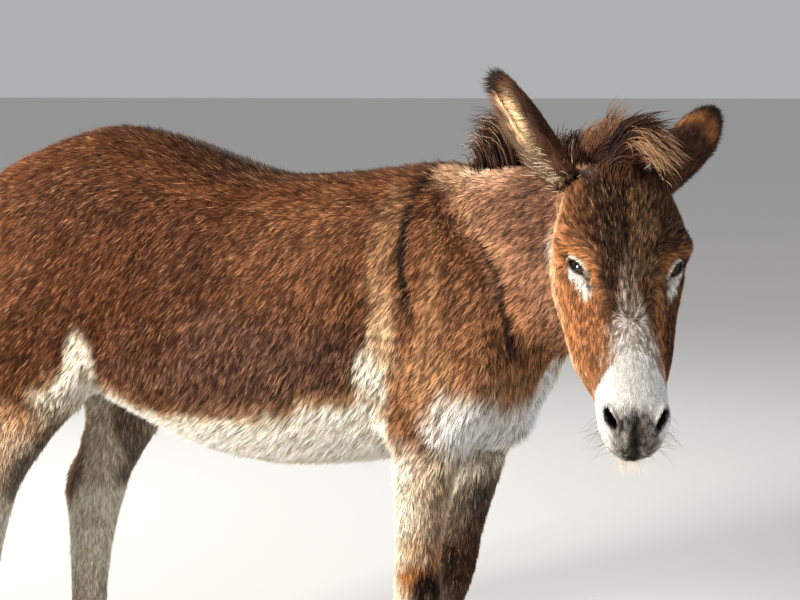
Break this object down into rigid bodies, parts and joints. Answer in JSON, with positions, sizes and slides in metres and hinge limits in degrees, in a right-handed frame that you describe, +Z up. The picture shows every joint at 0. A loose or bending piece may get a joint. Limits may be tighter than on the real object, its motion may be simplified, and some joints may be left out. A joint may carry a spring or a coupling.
{
  "type": "donkey",
  "caption": "Life-size standing donkey with its neck bent and its head turned to its right, in a shaggy brown winter coat with a pale belly and muzzle, long ears and a tufted tail.",
  "frame": {"origin": "on the floor, under the middle of the animal's own box", "axes": "+X from the tail to the breast, +Y to the animal's left, +Z up"},
  "size_m": [1.61, 0.8048, 1.2335],
  "materials": {
    "coat": "shaggy winter fur, chocolate brown with pale belly, muzzle and inner legs",
    "long_hair": "coarse dark mane and tail hair with straw tips",
    "hoof_horn": "worn grey-black horn with fine rings",
    "eye": "wet dark brown eye",
    "bare_skin": "dark bare skin of the lid rims, nostrils and lips"
  },
  "bodies": {
    "root": {"trunk": "coat", "neck": "coat", "head": "coat", "ear_left": "coat", "ear_right": "coat", "eye_left": "eye", "eye_right": "eye", "mane": "long_hair", "forelock": "long_hair", "tail_dock": "coat", "tail_switch": "long_hair", "leg_fore_left_upper": "coat", "leg_fore_left_lower": "coat", "hoof_fore_left": "hoof_horn", "leg_fore_right_upper": "coat", "leg_fore_right_lower": "coat", "hoof_fore_right": "hoof_horn", "leg_hind_left_upper": "coat", "leg_hind_left_lower": "coat", "hoof_hind_left": "hoof_horn", "leg_hind_right_upper": "coat", "leg_hind_right_lower": "coat", "hoof_hind_right": "hoof_horn"}
  },
  "joints": []
}
